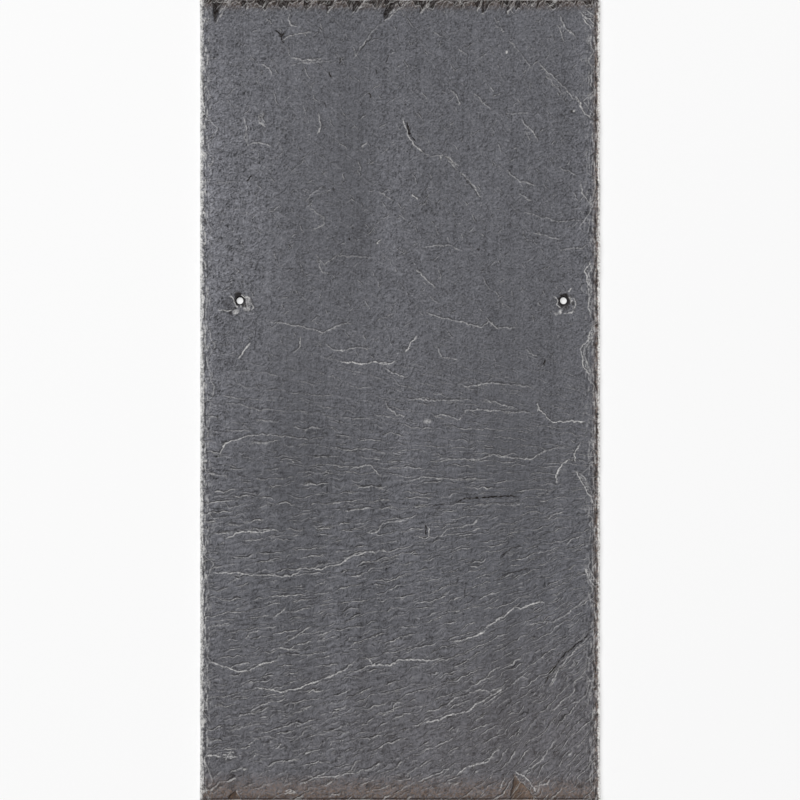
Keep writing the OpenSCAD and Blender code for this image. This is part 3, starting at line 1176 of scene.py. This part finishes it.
def break_stone(mesh, steps, cracks):
    """Gives the flat slate its riven face, dressed edges, rough walls and bed, and its marks."""
    places = np.zeros(len(mesh.vertices) * 3)
    mesh.vertices.foreach_get("co", places)
    x, y, z = places.reshape(-1, 3).T
    up = z / THICKNESS
    relief = Relief(x, y, steps, cracks)
    bed = BED_ROUGH * (1 + drift(x, y, BED_SIZE, BED_SEED)) * (up == 0)
    wall = (up > 0) & (up < 1)
    new_x, new_y = wandered(x, y)
    rough = WALL_RAG * wall * drift_share(x + y, WALL_RAG_STRETCH * z, WALL_RAG_SIZE, WALL_SEED)
    new_x -= rough * np.sign(x) * (np.abs(x) > WIDTH / 2 - TOUCH)
    new_y -= rough * np.sign(y) * (np.abs(y) > LENGTH / 2 - TOUCH)
    new_z = bed + up * (relief.height - bed)
    shaped = np.stack([new_x, new_y, new_z], axis=1) * MM
    mesh.vertices.foreach_set("co", shaped.ravel())
    for name, values in relief.marks.items():
        attribute = mesh.attributes.new(name, "FLOAT", "POINT")
        attribute.data.foreach_set("value", (values * (up == 1)).astype(np.float32))
    blank_place = mesh.attributes.new("blank_place", "FLOAT_VECTOR", "POINT")
    blank_place.data.foreach_set("vector", places.astype(np.float32))
    mesh.update()


class Nodes:
    """Short ways to add nodes to a material."""

    def __init__(self, name):
        self.material = bpy.data.materials.new(name)
        self.material.use_nodes = True
        self.tree = self.material.node_tree
        self.shader = self.tree.nodes["Principled BSDF"]

    def add(self, kind, inputs=None, **settings):
        made = self.tree.nodes.new("ShaderNode" + kind)
        for name, value in settings.items():
            setattr(made, name, value)
        for socket, value in (inputs or {}).items():
            self.feed(made.inputs[socket], value)
        return made

    def feed(self, socket, value):
        if isinstance(value, bpy.types.NodeSocket):
            self.tree.links.new(value, socket)
        else:
            socket.default_value = value

    def maths(self, operation, a, b=0.0, clamp=False):
        return self.add("Math", {0: a, 1: b}, operation=operation, use_clamp=clamp).outputs[0]

    def vector(self, operation, a, b=(0, 0, 0)):
        return self.add("VectorMath", {0: a, 1: b}, operation=operation).outputs[0]

    def noise(self, place, length, width, detail=1):
        """Noise whose specks have a length and a width."""
        shrunk = self.vector("DIVIDE", place, (length, width, width))
        return self.add("TexNoise", {"Vector": shrunk, "Scale": 1, "Detail": detail}).outputs["Fac"]

    def wave(self, along, bend, start):
        """Noise along an edge, with bends of about one length, from a start of its own."""
        shrunk = self.maths("ADD", self.maths("DIVIDE", along, bend), start)
        inputs = {"W": shrunk, "Scale": 1, "Detail": DETAIL}
        return self.add("TexNoise", inputs, noise_dimensions="1D").outputs["Fac"]

    def ramp(self, value, low, high, to_low=0.0, to_high=1.0):
        made = self.add("MapRange", {0: value, 1: low, 2: high, 3: to_low, 4: to_high})
        made.interpolation_type = "SMOOTHSTEP"
        return made.outputs[0]

    def mix(self, share, a, b, blend="MIX"):
        made = self.add("Mix", {0: share, 6: a, 7: b}, data_type="RGBA", blend_type=blend)
        return made.outputs[2]

    def mark(self, name):
        return self.add("Attribute", attribute_name=name).outputs["Fac"]

    def swing(self, value, size):
        """A noise swung about zero, by up to half of size each way."""
        return self.maths("MULTIPLY", self.maths("SUBTRACT", value, NOISE_MIDDLE), size)

    def chain(self, operation, first, *others):
        """The first value, joined to each of the others in turn."""
        made = first
        for value in others:
            made = self.maths(operation, made, value)
        return made

    def product(self, *values):
        return self.chain("MULTIPLY", *values)

    def most(self, *values):
        return self.chain("MAXIMUM", *values)

    def total(self, *values):
        return self.chain("ADD", *values)

    def line(self, value, middle, half_width):
        """1 where a value is at its middle, falling to 0 half a width away."""
        away = self.maths("ABSOLUTE", self.maths("SUBTRACT", value, middle))
        return self.maths("SUBTRACT", 1, self.maths("DIVIDE", away, half_width), clamp=True)


def sagged(n, place):
    """Places of the stone, moved as its ripples sag towards the tail."""
    x, y, _ = n.add("SeparateXYZ", {0: place}).outputs
    past_line = n.maths("MAXIMUM", n.maths("SUBTRACT", SAG_LINE, x), 0)
    sag = n.product(past_line, n.ramp(y, *SAG_ZONE, 0, -SAG_SHARE))
    return n.vector("ADD", place, n.add("CombineXYZ", {1: sag}).outputs[0])


def flow_about_focus(n, place):
    """Places along and across the ripples of the break, which run out from its focus."""
    from_focus = n.vector("SUBTRACT", place, (*BREAK_FOCUS, 0))
    apart = n.add("SeparateXYZ", {0: from_focus})
    backward = n.maths("MULTIPLY", apart.outputs[0], -1)
    angle = n.maths("ARCTAN2", apart.outputs[1], backward)
    across = n.maths("MULTIPLY", angle, BREAK_RADIUS)
    along = n.add("VectorMath", {0: from_focus}, operation="LENGTH").outputs["Value"]
    return n.add("CombineXYZ", {0: along, 1: across, 2: apart.outputs[2]}).outputs[0]


def turned(n, place, angle):
    return n.add("VectorRotate", {"Vector": place, "Angle": angle}, rotation_type="Z_AXIS").outputs[0]


def curled(n, place, lower_half):
    """Places of the stone, swung about as its ripples curl."""
    swirl = n.add("TexNoise", {"Vector": place, "Scale": 1 / CURL_SIZE, "Detail": DETAIL}).outputs["Color"]
    centred = n.vector("SUBTRACT", swirl, (NOISE_MIDDLE,) * 3)
    level = n.vector("MULTIPLY", centred, (1, 1, 0))
    reach = n.ramp(lower_half, 0, 1, *CURL_REACH)
    scaled = n.add("VectorMath", {0: level, "Scale": reach}, operation="SCALE").outputs[0]
    return n.vector("ADD", place, scaled)


def layer_number(n, flow, ripples):
    """Which layer of the stone shows at a place, when the layers step down towards the head."""
    across = n.add("SeparateXYZ", {0: flow}).outputs[1]
    even = n.maths("DIVIDE", across, ripples.spacing)
    bends = n.noise(flow, *ripples.bend, detail=BEND_DETAIL)
    return n.maths("ADD", even, n.maths("MULTIPLY", bends, ripples.sway))


def step_lines(n, flow, ripples, own_half):
    """The lit lips of fine steps in painted highlight and their dark feet in painted shade, in lines of even
    width, and their height.
    """
    ahead, here, behind = (
        layer_number(n, n.vector("ADD", flow, (0, shift * ripples.line, 0)), ripples)
        for shift in (1, 0, -1)
    )
    whole_ahead, whole, whole_behind = (n.maths("FLOOR", number) for number in (ahead, here, behind))
    lip = n.maths("SUBTRACT", whole_ahead, whole, clamp=True)
    foot = n.maths("SUBTRACT", whole, whole_behind, clamp=True)
    back = n.maths("SUBTRACT", whole, whole_ahead, clamp=True)
    patches = n.ramp(n.noise(flow, *ripples.patch, detail=DETAIL), *ripples.cover)
    shown = n.product(patches, n.most(own_half, ripples.share_outside))
    return (
        n.product(lip, shown, ripples.pale),
        n.product(n.most(foot, back), shown, ripples.dark),
        n.product(n.maths("FRACT", here), shown, -ripples.rise),
    )


def rim_places(n):
    """Distance in from each edge, and place along it, before the outline wanders."""
    place = n.add("Attribute", attribute_name="blank_place").outputs["Vector"]
    x, y, _ = n.add("SeparateXYZ", {0: place}).outputs
    return {
        "left": (n.maths("ADD", x, WIDTH / 2), y),
        "right": (n.maths("SUBTRACT", WIDTH / 2, x), y),
        "tail": (n.maths("ADD", y, LENGTH / 2), x),
        "head": (n.maths("SUBTRACT", LENGTH / 2, y), x),
    }


def rim_ridge(n, inward, along, ridge, start):
    """One thin ridge that meanders along an edge, drawn as a pale line of painted highlight with a line of
    painted shade beside it.
    """
    middle, sway, bend, pale = ridge
    away = n.maths("SUBTRACT", inward, n.swing(n.wave(along, bend, start), sway))
    shown = n.ramp(n.wave(along, RIDGE_PATCH * bend, start + PATCH_START), *RIDGE_COVER)
    lit = n.product(n.line(away, middle, RIDGE_WIDTH), shown, pale)
    shaded = n.product(n.line(away, middle + 2 * RIDGE_WIDTH, RIDGE_WIDTH), shown, pale)
    return lit, shaded


def head_teeth(n, inward, along):
    """Small chips that lean along the head, drawn only in the colour: their painted shade, and the painted
    highlight on their slopes.
    """
    stray_start, reach_start = TOOTH_STARTS
    stray = n.swing(n.wave(along, TOOTH_DRIFT, stray_start), TOOTH_STRAY)
    number = n.maths("ADD", n.maths("DIVIDE", along, TOOTH_PITCH), stray)
    fall = n.maths("SUBTRACT", 1, n.maths("FRACT", number))
    reach = n.ramp(n.wave(along, TOOTH_DRIFT, reach_start), *TOOTH_NOISE, *TOOTH_REACH)
    below = n.maths("SUBTRACT", inward, n.product(fall, reach))
    tooth = n.ramp(below, TOOTH_FADE, -TOOTH_FADE, 0, TOOTH_DARK)
    slope = n.product(n.line(below, *TOOTH_SLOPE), TOOTH_LIP)
    return tooth, slope


def rim_marks(n, place):
    """How bruised, pale, dark and rusty the stone is along its dressed edges."""
    rag = n.noise(place, RAG_SIZE, RAG_SIZE, detail=DETAIL)
    gap_noise = n.noise(place, GAP_SIZE, GAP_SIZE)
    strokes = n.noise(place, *STROKE_SIZE, detail=DETAIL)
    stains = n.noise(place, STAIN_SIZE, STAIN_SIZE, detail=DETAIL)
    soiled = n.ramp(stains, *SOIL_COVER)
    rusted = n.ramp(stains, *RUST_COVER)
    marks = {"bruise": [], "pale": [], "dark": [], "rust": []}
    places = rim_places(n)
    for start, (edge, rim) in enumerate(RIMS.items()):
        straight, along = places[edge]
        inward = n.maths("ADD", straight, n.swing(rag, rim.rag))
        if rim.bruise:
            outer, inner, strength = rim.bruise
            marks["bruise"].append(n.ramp(inward, outer, inner, 0, strength))
        if rim.gaps:
            middle, half_width, strength, begin = rim.gaps
            gappy = n.ramp(gap_noise, begin, begin + GAP_FADE)
            marks["dark"].append(n.product(n.line(inward, middle, half_width), gappy, strength))
        if rim.soil:
            reach, strength = rim.soil
            marks["dark"].append(n.product(n.ramp(inward, reach, 0), soiled, strength))
        if rim.rust:
            reach, strength = rim.rust
            marks["rust"].append(n.product(n.ramp(inward, reach, 0), rusted, strength))
        if rim.strokes:
            reach, pale, dark = rim.strokes
            beside_edge = n.ramp(straight, reach, 0)
            marks["pale"].append(n.product(n.ramp(strokes, *STROKE_PALE), beside_edge, pale))
            marks["dark"].append(n.product(n.ramp(strokes, *STROKE_DARK), beside_edge, dark))
        for i, ridge in enumerate(rim.ridges):
            lit, shaded = rim_ridge(n, straight, along, ridge, RIDGE_START * start + i)
            marks["pale"].append(lit)
            marks["dark"].append(shaded)

    from_head, along_head = places["head"]
    tooth, slope = head_teeth(n, from_head, along_head)
    hatch = n.noise(turned(n, place, HATCH_TURN), *HATCH_SIZE)
    hatched = n.ramp(from_head, HATCH_REACH, 0)
    # The pale slopes of the teeth and the streaks over the chips' lit sides are painted highlight
    marks["pale"] += [
        slope,
        n.product(n.ramp(hatch, *HATCH_PALE), hatched),
        n.product(n.ramp(hatch, *HATCH_FAN), n.mark("fan")),
    ]
    # The teeth and the streaks over the chips' shaded sides are painted shade
    marks["dark"] += [
        tooth,
        n.product(n.ramp(hatch, *HATCH_DARK), hatched),
        n.product(n.ramp(hatch, *HATCH_SHADE), n.mark("chip")),
    ]
    return {name: n.most(*values) for name, values in marks.items()}


def broken(n, place, breaks):
    """How much of a line is left, where gaps break it."""
    size, gap, least = breaks
    return n.ramp(n.noise(place, size, size), *gap, least, 1)


def crinkles(n, place, lower_half):
    """Pale hair-thin lines that wind about the half towards the head."""
    size, half_width, rise = CRINKLES
    patch, cover = CRINKLE_PATCH
    winding = n.line(n.noise(place, size, size, detail=DETAIL), NOISE_MIDDLE, half_width)
    shown = n.ramp(n.noise(place, patch, patch), *cover)
    return n.product(winding, shown, n.ramp(lower_half, 1, 0, 0, rise))


def painted_crumple_light(n, place, lower_half):
    """Painted light and shade on the flanks of fine crumpled ridges, lit from the lamp's side."""
    size, half_width, flank, swings = CRUMPLES
    bearing = math.radians(KEY_BEARING)
    towards_lamp = (flank * math.cos(bearing), flank * math.sin(bearing), 0)
    here, there = (
        n.line(n.noise(spot, size, size, detail=DETAIL), NOISE_MIDDLE, half_width)
        for spot in (place, n.vector("ADD", place, towards_lamp))
    )
    return n.product(n.maths("SUBTRACT", here, there), n.ramp(lower_half, 1, 0, *swings))


def slate_tone(n, place, flow, lower_half):
    """Brightness of the plain stone about 1, with painted light and shade on crumpled ridges, and its specks
    and fibres for the bump.
    """
    def grain(head_grain, tail_grain):
        *head_size, head_swing = head_grain
        *tail_size, tail_swing = tail_grain
        head_tone = n.swing(n.noise(place, *head_size), head_swing)
        tail_tone = n.swing(n.noise(flow, *tail_size), tail_swing)
        return n.add("Mix", {0: lower_half, 2: head_tone, 3: tail_tone}).outputs[0]

    fibres = grain(GRIT, FIBRES)
    specks = n.noise(place, *SPECKS[:2])
    brightness = n.mark("tone")
    grain_share = n.maths("ADD", 1, n.product(brightness, BRIGHT_GRAIN))
    fine_tone = n.total(
        n.swing(specks, SPECKS[2]),
        fibres,
        grain(LUMPS, STRANDS),
        crinkles(n, place, lower_half),
        painted_crumple_light(n, place, lower_half),
    )
    tone = n.total(
        1,
        brightness,
        n.product(fine_tone, grain_share),
        n.swing(n.noise(place, *CLOUDS[:2], detail=CLOUD_DETAIL), CLOUDS[2]),
        n.swing(n.noise(place, *SCORES[:2]), SCORES[2]),
        n.swing(n.noise(place, *STREAKS[:2], detail=DETAIL), STREAKS[2]),
    )
    return tone, specks, fibres


def slate_material():
    """Riven slate: grey stone with fine grain, ripples of the break, pale bruises, dark marks and rust, with
    painted highlight and painted shade on its relief.
    """
    n = Nodes("riven_slate")
    place = n.vector("DIVIDE", n.add("TexCoord").outputs["Object"], (MM, MM, MM))
    across_slate, up_slate, _ = n.add("SeparateXYZ", {0: place}).outputs
    lower_half = n.ramp(up_slate, HEAD_ZONE, TAIL_ZONE)
    swung = curled(n, place, lower_half)
    upper_half = n.maths("SUBTRACT", 1, lower_half)
    flow = flow_about_focus(n, sagged(n, swung))
    tone, specks, fibres = slate_tone(n, swung, flow, lower_half)
    steps = [step_lines(n, flow, ripples, lower_half) for ripples in RIPPLES]
    steps += [step_lines(n, turned(n, swung, turn), HAIRLINES, upper_half) for turn in HAIR_TURNS]
    lips, feet, rises = zip(*steps)
    rim = rim_marks(n, place)
    speckled = n.ramp(specks, *PALE_RUST_SPECKS)
    jitter, jitter_swing = LINE_JITTER
    wander = n.swing(n.noise(place, jitter, jitter, detail=DETAIL), jitter_swing)
    lip_gap = n.maths("ADD", n.mark("lip_gap"), wander)
    crack_gap = n.maths("ADD", n.mark("crack_gap"), wander)
    whole_lip = broken(n, place, LIP_BREAKS)
    whole_crack = broken(n, place, CRACK_BREAKS)

    colour = n.mix(1, SLATE, n.add("CombineXYZ", {0: tone, 1: tone, 2: tone}).outputs[0], "MULTIPLY")
    wash_start, wash_full, wash = TAIL_WASH
    wash_share = n.ramp(across_slate, -WIDTH / 2, WIDTH / 2, *WASH_SHARES)
    washed = n.product(n.ramp(up_slate, wash_start, wash_full, 0, wash), wash_share)
    rust = n.most(n.mark("rust"), rim["rust"], washed)
    colour = n.mix(n.product(rust, speckled), colour, RUST)
    # Dark marks and dirt of the stone and its edges, with painted shade at the feet of steps, on the shaded
    # sides of chips and teeth, beside ridges and in the craters
    dark = n.most(
        n.mark("dark"),
        rim["dark"],
        n.product(n.mark("lip_dark"), n.line(lip_gap, *FOOT_LINE)),
        n.product(n.mark("crack_dark"), whole_crack, n.line(crack_gap, *CRACK_LINE)),
        *feet,
    )
    colour = n.mix(n.product(dark, n.ramp(specks, *DARK_SPECKS)), colour, DARK)
    # Pale marks of the stone and its edges, with painted highlight on the lips of steps, on the lit sides of
    # chips and teeth, on ridges and on broken facets
    pale = n.most(
        n.mark("pale"),
        rim["pale"],
        n.product(n.mark("lip_pale"), whole_lip, n.line(lip_gap, *LIP_LINE)),
        n.product(n.most(*lips), whole_lip),
    )
    colour = n.mix(n.product(pale, speckled), colour, PALE)
    colour = n.mix(n.product(rim["bruise"], speckled), colour, BRUISE)
    n.feed(n.shader.inputs["Base Color"], colour)
    n.feed(n.shader.inputs["Roughness"], n.ramp(specks, *ROUGH_SPECKS, *ROUGHNESS))
    n.shader.inputs["Specular IOR Level"].default_value = SHEEN

    height = n.total(*rises, n.product(fibres, FIBRE_BUMP), n.product(specks, SPECK_BUMP))
    bump = n.add("Bump", {"Height": height, "Distance": MM, "Strength": 1})
    n.feed(n.shader.inputs["Normal"], bump.outputs[0])
    return n.material


def placed(name, data):
    """A new object of the scene, at the origin."""
    made = bpy.data.objects.new(name, data)
    bpy.context.scene.collection.objects.link(made)
    return made


def riven_slate():
    """The slate itself, in place of its plain solid."""
    steps, cracks = face_marks()
    lines = [line for line, *_ in steps + cracks]
    blots = [blot_points(*blot[:3]) for blot in BLOTS]
    mesh = flat_slate(line_tree(lines + blots))
    break_stone(mesh, steps, cracks)
    mesh.materials.append(slate_material())
    mesh.shade_smooth()
    mesh.set_sharp_from_angle(angle=SHARP_ANGLE)
    slate = placed("riven_slate", mesh)
    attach(slate, "root")
    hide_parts("slate_tile")


def camera_white(tree, level):
    """1 for rays that show the background to the camera, in mirrors and through glass."""
    path = tree.nodes.new("ShaderNodeLightPath")
    seen = path.outputs["Is Camera Ray"]
    for name in ("Is Glossy Ray", "Is Transmission Ray"):
        either = tree.nodes.new("ShaderNodeMath")
        either.operation = "MAXIMUM"
        tree.links.new(seen, either.inputs[0])
        tree.links.new(path.outputs[name], either.inputs[1])
        seen = either.outputs[0]
    scaled = tree.nodes.new("ShaderNodeMath")
    scaled.operation = "MULTIPLY"
    tree.links.new(seen, scaled.inputs[0])
    scaled.inputs[1].default_value = level
    return scaled.outputs[0]


def floor():
    """A plain pale floor that looks white and keeps the slate's shadow."""
    bm = bmesh.new()
    bmesh.ops.create_grid(bm, x_segments=1, y_segments=1, size=FLOOR_SIZE / 2)
    mesh = bpy.data.meshes.new("studio_floor")
    bm.to_mesh(mesh)
    bm.free()
    n = Nodes("studio_floor")
    n.shader.inputs["Base Color"].default_value = FLOOR_COLOUR
    n.shader.inputs["Roughness"].default_value = FLOOR_ROUGHNESS
    glow = n.add("Emission", {"Color": WHITE, "Strength": 1})
    seen = camera_white(n.tree, FLOOR_GLOW)
    both = n.add("MixShader", {0: seen, 1: n.shader.outputs[0], 2: glow.outputs[0]})
    output = n.tree.nodes["Material Output"]
    n.tree.links.new(both.outputs[0], output.inputs["Surface"])
    mesh.materials.append(n.material)
    plane = placed("studio_floor", mesh)


def studio_light():
    """A soft lamp from the head's left and an even fill."""
    lamp = bpy.data.lights.new("key", "AREA")
    lamp.size = KEY_SIZE
    lamp.energy = KEY_POWER
    key = placed("key", lamp)
    bearing = math.radians(KEY_BEARING)
    height = math.radians(KEY_HEIGHT)
    away = Vector((
        math.cos(bearing) * math.cos(height),
        math.sin(bearing) * math.cos(height),
        math.sin(height),
    ))
    key.location = away * KEY_DISTANCE
    key.rotation_euler = away.to_track_quat("Z", "Y").to_euler()

    world = bpy.data.worlds.new("studio")
    world.use_nodes = True
    tree = world.node_tree
    background = tree.nodes["Background"]
    strength = tree.nodes.new("ShaderNodeMapRange")
    tree.links.new(camera_white(tree, 1), strength.inputs[0])
    strength.inputs[3].default_value = FILL
    strength.inputs[4].default_value = 1
    background.inputs["Color"].default_value = WHITE
    tree.links.new(strength.outputs[0], background.inputs["Strength"])
    bpy.context.scene.world = world


def camera():
    """Looks straight down on the slate, which fills the frame from head to tail."""
    data = bpy.data.cameras.new("camera")
    data.lens = CAMERA_LENS
    data.sensor_width = CAMERA_SENSOR
    seat = placed("camera", data)
    shown = (LENGTH - CROPPED_LENGTH) * MM
    pixel = shown / PHOTO_PIXELS
    distance = shown * CAMERA_LENS / CAMERA_SENSOR
    seat.location = (-(SLATE_MIDDLE_PIXEL - PHOTO_PIXELS / 2) * pixel, 0, THICKNESS * MM + distance)
    bpy.context.scene.camera = seat


riven_slate()
floor()
studio_light()
camera()
bpy.context.scene.view_settings.view_transform = "Standard"
